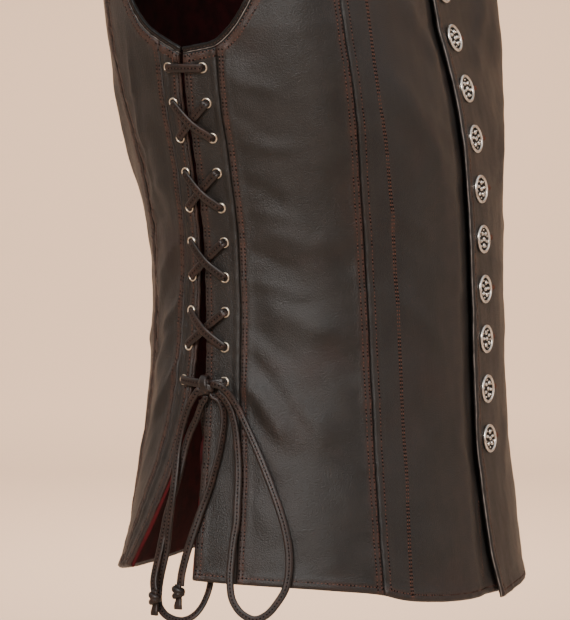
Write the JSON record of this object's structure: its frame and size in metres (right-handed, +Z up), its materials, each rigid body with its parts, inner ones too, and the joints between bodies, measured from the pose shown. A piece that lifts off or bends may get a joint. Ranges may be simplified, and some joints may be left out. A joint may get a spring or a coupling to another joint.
{
  "type": "medieval leather vest",
  "caption": "Sleeveless leather vest, filled out as if worn, with a buttoned lapped front, laced side slits with hanging bows and a cloth lining.",
  "frame": {"origin": "halfway between the shoulders, at the height where the wearer carries the vest", "axes": "+Z up, the front faces -Y, the wearer's right side faces -X"},
  "size_m": [0.3708, 0.283, 0.644],
  "materials": {
    "leather": "waxed near-black leather, red-brown burnish along seams and edges",
    "edge": "smooth dark bound edge",
    "lining": "dull dark red cloth",
    "lace": "dark brown stitched leather lace",
    "button": "antique silver with darkened recesses"
  },
  "bodies": {
    "root": {"leather_front_centre_right": "leather", "leather_front_centre_left": "leather", "leather_front_side_right": "leather", "leather_front_side_left": "leather", "leather_back_side_right": "leather", "leather_back_side_left": "leather", "leather_back_centre": "leather", "lacing_strip_front_right": "leather", "lacing_strip_front_left": "leather", "lacing_strip_back_right": "leather", "lacing_strip_back_left": "leather", "binding_armhole_right": "edge", "binding_armhole_left": "edge", "binding_neck": "edge", "lining_front_right": "lining", "lining_front_left": "lining", "lining_back": "lining", "side_lace_right": "lace", "side_lace_left": "lace", "lace_front_loop_right": "lace", "lace_front_loop_left": "lace", "lace_front_end_right": "lace", "lace_front_end_left": "lace", "lace_back_loop_right": "lace", "lace_back_loop_left": "lace", "lace_back_end_right": "lace", "lace_back_end_left": "lace", "end_knot_front_right": "lace", "end_knot_front_left": "lace", "end_knot_back_right": "lace", "end_knot_back_left": "lace", "button_1": "button", "button_2": "button", "button_3": "button", "button_4": "button", "button_5": "button", "button_6": "button", "button_7": "button", "button_8": "button", "button_9": "button", "button_10": "button", "button_11": "button", "button_12": "button"}
  },
  "joints": []
}
